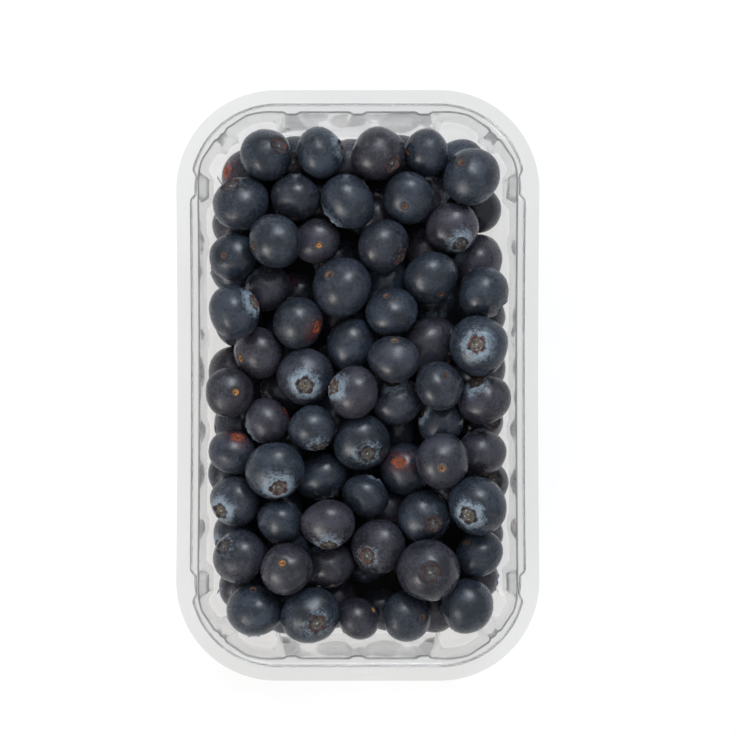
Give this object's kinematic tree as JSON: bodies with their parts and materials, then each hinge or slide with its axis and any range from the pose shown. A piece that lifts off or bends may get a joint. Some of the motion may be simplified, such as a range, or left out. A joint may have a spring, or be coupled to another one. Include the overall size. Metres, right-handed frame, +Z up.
{
  "type": "punnet of blueberries",
  "caption": "Oblong clear plastic tray with rounded corners, a flat sealing flange and ribbed walls, filled loosely with a heap of ripe blueberries.",
  "frame": {"origin": "on the ground under the middle of the tray", "axes": "+Z up; +Y along the tray's length; +X across its width"},
  "size_m": [0.115, 0.187, 0.047],
  "materials": {
    "clear_plastic": "clear thermoformed plastic sheet, glossy",
    "berry_skin": "blue-black fruit skin with a thin pale bloom, soft sheen",
    "berry_crown": "dry brown calyx crown",
    "berry_scar": "dry orange-brown stem scar"
  },
  "bodies": {
    "root": {"punnet": "clear_plastic", "berries": "berry_skin"}
  },
  "joints": []
}
